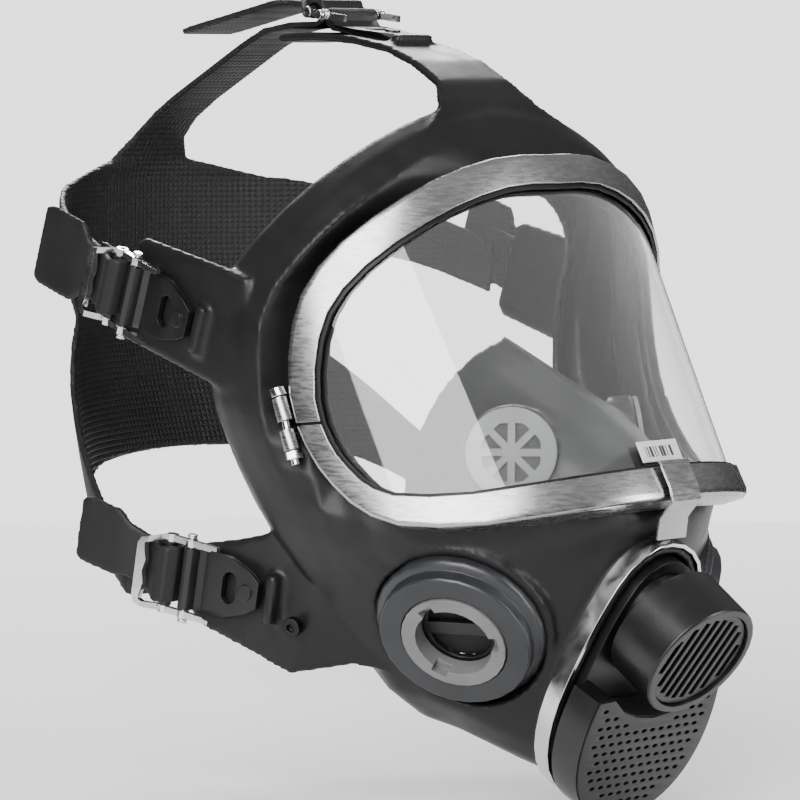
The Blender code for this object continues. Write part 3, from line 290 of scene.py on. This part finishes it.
DIAPHRAGM = metal("diaphragm_foil", (0.25, 0.25, 0.25), (0.35, 0.35, 0.35), 0.35, (1, 1, 1))
PALE_SEAT = plastic("pale_valve_seat", (0.17, 0.17, 0.17), (0.22, 0.22, 0.22), 0.45)
DARK_STEEL = metal("blackened_steel", (0.020, 0.020, 0.021), (0.032, 0.032, 0.033), 0.40, (1, 1, 1))
OWN_LOOKS = {
    "neck_stud_left": DARK_STEEL,
    "neck_stud_right": DARK_STEEL,
    "speech_diaphragm": DIAPHRAGM,
    "cup_valve_seat_left": PALE_SEAT,
    "cup_valve_seat_right": PALE_SEAT,
}


def paint(obj, mat):
    obj.data.materials.clear()
    obj.data.materials.append(mat)


# ------------------------------------------------------------------ refined copies of CAD solids


def sharp_points(bm, angle, step):
    """Points along the edges that turn by more than angle."""
    points = []
    for edge in bm.edges:
        if len(edge.link_faces) != 2 or edge.calc_face_angle(0.0) < angle:
            continue
        a, b = edge.verts[0].co, edge.verts[1].co
        count = max(1, int((b - a).length / step))
        points += [a.lerp(b, k / count) for k in range(count + 1)]
    return points


# gap to a guarded node, in mm, within which a skin is held on the CAD surface, and the part of it that blends
HELD_WITHIN = 6.5
HELD_BLEND = 2.0


def surface_tree(node):
    """The surface of a CAD node, for nearest-point searches."""
    obj = NODES[node]
    points = [obj.matrix_world @ vertex.co for vertex in obj.data.vertices]
    return BVHTree.FromPolygons(points, [tuple(face.vertices) for face in obj.data.polygons])


def hold_near(obj, node, others):
    """Puts the points of a skin that lie within a few mm of other nodes back on the CAD surface."""
    surface = surface_tree(node)
    for other in others:
        guarded = surface_tree(other)
        for vertex in obj.data.vertices:
            gap = guarded.find_nearest(vertex.co, HELD_WITHIN * MM)[3]
            if gap is None:
                continue
            share = min(1.0, (HELD_WITHIN - gap / MM) / HELD_BLEND)
            vertex.co = vertex.co.lerp(surface.find_nearest(vertex.co)[0], share)


def refined(node, name, slot, voxel, keep_angle, rounds, near, far, others=()):
    """A finer copy of a CAD solid: remeshed, smoothed away from its real edges, so that broad facets go."""
    source = NODES[node]
    bm = bmesh.new()
    bm.from_mesh(source.data)
    bmesh.ops.remove_doubles(bm, verts=bm.verts, dist=0.01 * MM)
    points = sharp_points(bm, math.radians(keep_angle), 1.0 * MM)
    mesh = bpy.data.meshes.new(name)
    bm.to_mesh(mesh)
    bm.free()
    obj = bpy.data.objects.new(name, mesh)
    bpy.context.scene.collection.objects.link(obj)
    remesh = obj.modifiers.new("voxels", "REMESH")
    remesh.mode = "VOXEL"
    remesh.voxel_size = voxel * MM
    bake(obj)
    tree = KDTree(max(1, len(points)))
    for index, point in enumerate(points):
        tree.insert(point, index)
    tree.balance()
    group = obj.vertex_groups.new(name="broad")
    for vertex in obj.data.vertices:
        gap = tree.find(vertex.co)[2] / MM if points else far
        t = min(1.0, max(0.0, (gap - near) / (far - near)))
        group.add([vertex.index], t * t * (3 - 2 * t), "REPLACE")
    broad = obj.modifiers.new("broad", "SMOOTH")
    broad.factor = 0.5
    broad.iterations = rounds
    broad.vertex_group = "broad"
    fine = obj.modifiers.new("fine", "SMOOTH")
    fine.factor = 0.5
    fine.iterations = 3
    bake(obj)
    obj.vertex_groups.clear()
    hold_near(obj, node, others)
    obj.data.shade_smooth()
    paint(obj, LOOKS[slot])
    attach(obj, "mask")
    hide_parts(node)


def bake(obj):
    """Replaces an object's mesh with what its modifiers make."""
    bpy.context.view_layer.update()
    graph = bpy.context.evaluated_depsgraph_get()
    mesh = bpy.data.meshes.new_from_object(obj.evaluated_get(graph))
    obj.modifiers.clear()
    obj.data = mesh


refined("facepiece", "facepiece_skin", "rubber", 1.1, 32, 30, 1.5, 6.0)
refined("harness", "harness_skin", "harness", 0.9, 50, 20, 0.8, 4.0, ROLLERS)
refined("nose_cup", "nose_cup_skin", "silicone", 1.0, 35, 40, 1.5, 6.0)


# ------------------------------------------------------------------ visor lens


def visor_point(angle, z, offset):
    """Point of the lens surface at an angle in degrees and a height, moved out by offset, in mm."""

    def base(a, h):
        f = (VISOR_Z_TOP - h) / (VISOR_Z_TOP - VISOR_Z_LOW)
        y = VISOR_Y_TOP + (VISOR_Y_LOW - VISOR_Y_TOP) * f
        depth = VISOR_DEPTH_TOP + (VISOR_DEPTH_LOW - VISOR_DEPTH_TOP) * f
        r = math.radians(a)
        return Vector((VISOR_HALF_WIDTH * math.sin(r), y - depth * math.cos(r), h))

    along = base(angle + 0.1, z) - base(angle - 0.1, z)
    up = base(angle, z + 0.1) - base(angle, z - 0.1)
    return base(angle, z) + along.cross(up).normalized() * offset


def lens_place(p):
    """(angle in degrees, height, distance out) of a point in mm, on the lens surface nearest to it."""
    angle = math.degrees(math.asin(max(-1.0, min(1.0, p.x / VISOR_HALF_WIDTH))))
    z = p.z
    for _ in range(12):
        on = visor_point(angle, z, 0.0)
        normal = visor_point(angle, z, 1.0) - on
        out = (p - on).dot(normal)
        miss = p - on - normal * out
        z += miss.z
        step = visor_point(angle + 0.5, z, 0.0) - visor_point(angle - 0.5, z, 0.0)
        angle += miss.dot(step) / step.length_squared
    return angle, z, out


LENS_MIDDLE = (0.0, 25.0)
LENS_SQUEEZE = 1.45  # mm of arc per degree, near enough for even directions
RIM_STEPS = 180


def lens_rim():
    """The lens's rim as (angle, height), at even directions round its middle."""
    bm = bmesh.new()
    bm.from_mesh(NODES["visor"].data)
    bmesh.ops.remove_doubles(bm, verts=bm.verts, dist=0.01 * MM)
    places = {vertex: lens_place(vertex.co / MM) for vertex in bm.verts}
    spokes = {}
    for edge in bm.edges:
        ends = sorted((places[vertex] for vertex in edge.verts), key=lambda place: place[2])
        if ends[0][2] > -LENS_THICKNESS / 2 or ends[1][2] < -LENS_THICKNESS / 2:
            continue
        angle, z = ends[1][:2]
        dx, dz = (angle - LENS_MIDDLE[0]) * LENS_SQUEEZE, z - LENS_MIDDLE[1]
        spokes[round(math.degrees(math.atan2(dz, dx)), 1)] = math.hypot(dx, dz)
    bm.free()
    known = sorted(spokes)
    known = [known[-1] - 360.0] + known + [known[0] + 360.0]
    reach = [spokes.get(d, spokes.get(round(d + 360, 1), spokes.get(round(d - 360, 1)))) for d in known]
    rim = []
    for step in range(RIM_STEPS):
        direction = -180.0 + 360.0 / RIM_STEPS * step
        k = max(i for i in range(len(known) - 1) if known[i] <= direction)
        share = (direction - known[k]) / (known[k + 1] - known[k])
        length = reach[k] + (reach[k + 1] - reach[k]) * share
        r = math.radians(direction)
        rim.append(Vector((
            LENS_MIDDLE[0] + length * math.cos(r) / LENS_SQUEEZE,
            LENS_MIDDLE[1] + length * math.sin(r),
        )))
    return rim


def give_true_normals(mesh):
    """Shades both sides of the lens by the elliptic surface itself, and its rim flat."""
    true = []
    for vertex in mesh.vertices:
        angle, z, out = lens_place(vertex.co / MM)
        outward = visor_point(angle, z, 1.0) - visor_point(angle, z, 0.0)
        true.append((outward, out > -LENS_THICKNESS / 2))
    normals = []
    for face in mesh.polygons:
        sides = {true[index][1] for index in face.vertices}
        for index in face.vertices:
            outward, is_outer = true[index]
            if len(sides) == 2:
                normals.append(face.normal.copy())
            else:
                normals.append(outward if is_outer else -outward)
    mesh.normals_split_custom_set(normals)


def make_lens():
    """A fine lens on the true elliptic surface, with the CAD lens's rim."""
    rim = lens_rim()
    middle = Vector(LENS_MIDDLE)
    rings = [1.0 - 0.05 * k for k in range(20)]
    bm = bmesh.new()
    layers = []
    for out in (0.0, -LENS_THICKNESS):
        rows = []
        for f in rings:
            flat = [middle + (p - middle) * f for p in rim]
            rows.append([bm.verts.new(visor_point(q.x, q.y, out) * MM) for q in flat])
        tip = bm.verts.new(visor_point(middle.x, middle.y, out) * MM)
        layers.append((rows, tip))
    count = len(rim)
    for rows, tip in layers:
        for low, high in zip(rows, rows[1:]):
            for i in range(count):
                j = (i + 1) % count
                bm.faces.new((low[i], low[j], high[j], high[i]))
        for i in range(count):
            bm.faces.new((rows[-1][i], rows[-1][(i + 1) % count], tip))
    outer, inner = layers[0][0][0], layers[1][0][0]
    for i in range(count):
        j = (i + 1) % count
        bm.faces.new((outer[j], outer[i], inner[i], inner[j]))
    bmesh.ops.recalc_face_normals(bm, faces=bm.faces)
    mesh = bpy.data.meshes.new("lens")
    bm.to_mesh(mesh)
    bm.free()
    lens = bpy.data.objects.new("visor_lens", mesh)
    bpy.context.scene.collection.objects.link(lens)
    mesh.shade_smooth()
    give_true_normals(mesh)
    paint(lens, LOOKS["clear"])
    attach(lens, "mask")
    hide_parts("visor")


make_lens()


# ------------------------------------------------------------------ perforated exhalation cover


def band_frame():
    z = Vector((0, -math.cos(BAND_TILT), -math.sin(BAND_TILT)))
    x = Vector((1, 0, 0))
    y = z.cross(x)
    turn = Matrix((x, y, z)).transposed().to_4x4()
    return Matrix.Translation(BAND_FOOT * MM) @ turn


def cover_outline():
    """The cover's outline in the band's plane: it follows the band, and leaves room for the cylinder."""
    half = [Vector(p) for p in BAND_OUTLINE]
    loop = half + [Vector((-p.x, p.y)) for p in half[-2:0:-1]]
    points = []
    for i, p1 in enumerate(loop):
        p0, p2, p3 = loop[i - 1], loop[(i + 1) % len(loop)], loop[(i + 2) % len(loop)]
        for k in range(4):
            t = k / 4
            points.append(0.5 * ((2 * p1) + (p2 - p0) * t + (2 * p0 - 5 * p1 + 4 * p2 - p3) * t * t
                                 + (3 * p1 - p0 - 3 * p2 + p3) * t ** 3))
    points = [Vector((p.x * 1.045, p.y - 1.5)) for p in points]
    kept = [p for p in points if p.y < 46.0]
    start = max(range(len(kept)), key=lambda i: kept[i].y if kept[i].x > 0 else -1e9)
    kept = kept[start:] + kept[:start]
    top = [Vector((x, y)) for x, y in COVER_TOP]
    return [(p.x, p.y) for p in kept + top]


def flat_piece(name, loops, low, high, bevel=0.0):
    """A flat outline with holes, as a solid from low to high above the band's plane, in mm."""
    curve = bpy.data.curves.new(name, "CURVE")
    curve.dimensions = "2D"
    curve.fill_mode = "BOTH"
    for loop in loops:
        spline = curve.splines.new("POLY")
        spline.points.add(len(loop) - 1)
        for point, (x, y) in zip(spline.points, loop):
            point.co = (x * MM, y * MM, 0, 1)
        spline.use_cyclic_u = True
    curve.extrude = (high - low) / 2 * MM
    curve.bevel_depth = bevel * MM
    obj = bpy.data.objects.new(name, curve)
    bpy.context.scene.collection.objects.link(obj)
    bpy.context.view_layer.update()
    graph = bpy.context.evaluated_depsgraph_get()
    mesh = bpy.data.meshes.new_from_object(obj.evaluated_get(graph))
    bpy.data.objects.remove(obj)
    solid = bpy.data.objects.new(name, mesh)
    bpy.context.scene.collection.objects.link(solid)
    bm = bmesh.new()
    bm.from_mesh(mesh)
    bmesh.ops.remove_doubles(bm, verts=bm.verts, dist=0.005 * MM)
    bmesh.ops.recalc_face_normals(bm, faces=bm.faces)
    bm.to_mesh(mesh)
    bm.free()
    mesh.transform(band_frame() @ Matrix.Translation((0, 0, (low + high) / 2 * MM)))
    return solid


def oval(x, y, rx, ry, count=12):
    turns = [2 * math.pi * k / count for k in range(count)]
    return [(x + rx * math.cos(t), y + ry * math.sin(t)) for t in turns]


def shrunk(loop, by):
    middle = Vector((0, 22))
    result = []
    for x, y in loop:
        d = Vector((x, y)) - middle
        q = middle + d * (1 - by / d.length)
        result.append((q.x, q.y))
    return result


def make_cover():
    outline = cover_outline()
    border = shrunk(outline, 3.2)

    def inside(x, y):
        hit = False
        for (x0, y0), (x1, y1) in zip(border, border[1:] + border[:1]):
            if (y0 > y) != (y1 > y) and x < (x1 - x0) * (y - y0) / (y1 - y0) + x0:
                hit = not hit
        return hit

    holes = []
    for row in range(13):
        for col in range(-9, 10):
            x = 3.9 * col + (1.95 if row % 2 else 0.0)
            y = 3.0 + 3.25 * row
            reach = ((x + dx, y + dy) for dx in (-1.5, 1.5) for dy in (-1.0, 1.0))
            if all(inside(px, py) for px, py in reach):
                holes.append(oval(x, y, 1.35, 0.85))
    face = flat_piece("cover_face", [shrunk(outline, 0.6)] + holes, 13.2, COVER_FACE - 0.2, 0.15)
    wall = flat_piece("cover_wall", [outline, shrunk(outline, 2.0)], COVER_BACK, COVER_FACE - 0.6, 0.0)
    for piece in (face, wall):
        piece.data.shade_smooth()
        piece.data.set_sharp_from_angle(angle=math.radians(35))
        paint(piece, LOOKS["black"])
        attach(piece, "mask")
    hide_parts("exhalation_cover")


make_cover()


# ------------------------------------------------------------------ finishes of the kept CAD nodes


def finish_node(name, mat, bevel):
    """Gives a kept CAD node its material, and smooths its shading; the modifiers leave its mesh alone."""
    obj = NODES[name]
    paint(obj, mat)
    if "custom_normal" in obj.data.attributes:
        obj.data.attributes.remove(obj.data.attributes["custom_normal"])
    obj.data.shade_smooth()
    weld = obj.modifiers.new("weld", "WELD")
    weld.merge_threshold = 0.01 * MM
    edge = obj.modifiers.new("edge", "BEVEL")
    edge.width = bevel * MM
    edge.segments = 2
    edge.limit_method = "ANGLE"
    edge.angle_limit = math.radians(35)
    weight = obj.modifiers.new("weight", "WEIGHTED_NORMAL")
    weight.weight = 50


KEPT_SLOTS = {s["node"]: s["material_slot"] for s in frame["record"]["subparts"]}
for node_name, obj in NODES.items():
    if obj.hide_render:
        continue
    finish_node(node_name, OWN_LOOKS.get(node_name, LOOKS[KEPT_SLOTS[node_name]]), 0.22)


# ------------------------------------------------------------------ stage, lights and camera


FLOOR_RADIUS = 0.8
FLOOR_DROP = 0.001
BACKDROP_STRENGTH = 2.3
REFLECTED_STRENGTH = 0.45


def add_area(name, place, aim, size_x, size_y, power):
    light = bpy.data.lights.new(name, "AREA")
    light.shape = "RECTANGLE"
    light.size = size_x
    light.size_y = size_y
    light.energy = power
    obj = bpy.data.objects.new(name, light)
    bpy.context.scene.collection.objects.link(obj)
    obj.location = place
    obj.rotation_euler = (Vector(aim) - Vector(place)).to_track_quat("-Z", "Y").to_euler()


def make_stage():
    """A pale floor, a world that the camera sees plain and reflections see graded, and three soft lights."""
    bpy.ops.mesh.primitive_circle_add(
        vertices=96, radius=FLOOR_RADIUS, fill_type="NGON", location=(0, 0, CAD_BOX[0][2] - FLOOR_DROP),
    )
    floor = bpy.context.object
    floor.name = "floor"
    n = Nodes("floor_paper")
    n.bump(n.noise(500.0, 2.0), 0.05, 0.2)
    paper = n.colours(n.noise(6.0), (0.88, 0.88, 0.88), (0.90, 0.90, 0.90))
    paint(floor, n.set(Base_Color=paper, Roughness=0.9))
    world = bpy.data.worlds.new("studio")
    world.use_nodes = True
    tree = world.node_tree
    plain = tree.nodes["Background"]
    plain.inputs["Color"].default_value = (1, 1, 1, 1)
    plain.inputs["Strength"].default_value = BACKDROP_STRENGTH
    graded = tree.nodes.new("ShaderNodeBackground")
    graded.inputs["Strength"].default_value = REFLECTED_STRENGTH
    coord = tree.nodes.new("ShaderNodeTexCoord")
    axes = tree.nodes.new("ShaderNodeSeparateXYZ")
    tree.links.new(coord.outputs["Generated"], axes.inputs[0])
    ramp = tree.nodes.new("ShaderNodeValToRGB")
    ramp.color_ramp.elements[0].position = 0.0
    ramp.color_ramp.elements[0].color = (0.10, 0.10, 0.10, 1)
    ramp.color_ramp.elements[1].position = 0.75
    ramp.color_ramp.elements[1].color = (1, 1, 1, 1)
    tree.links.new(axes.outputs["Z"], ramp.inputs[0])
    tree.links.new(ramp.outputs[0], graded.inputs["Color"])
    path = tree.nodes.new("ShaderNodeLightPath")
    seen = tree.nodes.new("ShaderNodeMath")
    seen.operation = "MAXIMUM"
    tree.links.new(path.outputs["Is Camera Ray"], seen.inputs[0])
    tree.links.new(path.outputs["Is Transmission Ray"], seen.inputs[1])
    mix = tree.nodes.new("ShaderNodeMixShader")
    tree.links.new(seen.outputs[0], mix.inputs[0])
    tree.links.new(graded.outputs[0], mix.inputs[1])
    tree.links.new(plain.outputs[0], mix.inputs[2])
    tree.links.new(mix.outputs[0], tree.nodes["World Output"].inputs["Surface"])
    bpy.context.scene.world = world
    add_area("key", (-1.7, -0.8, 0.9), (0, 0, 0), 1.5, 1.7, 80)
    add_area("front", (0.75, -1.7, 0.4), (0, 0, 0), 0.4, 1.5, 26)
    add_area("rim", (0.9, 1.2, 1.1), (0, 0, 0), 1.0, 0.6, 45)


AZIMUTH = math.radians(-43.2)
ELEVATION = math.radians(4.87)
DISTANCE = 1.36


def make_camera():
    data = bpy.data.cameras.new("camera")
    data.lens = 181.5
    data.sensor_width = 36.0
    camera = bpy.data.objects.new("camera", data)
    bpy.context.scene.collection.objects.link(camera)
    back = Vector((
        math.sin(AZIMUTH) * math.cos(ELEVATION),
        -math.cos(AZIMUTH) * math.cos(ELEVATION),
        math.sin(ELEVATION),
    ))
    camera.location = back * DISTANCE
    camera.rotation_euler = (-back).to_track_quat("-Z", "Y").to_euler()
    bpy.context.scene.camera = camera


make_stage()
make_camera()
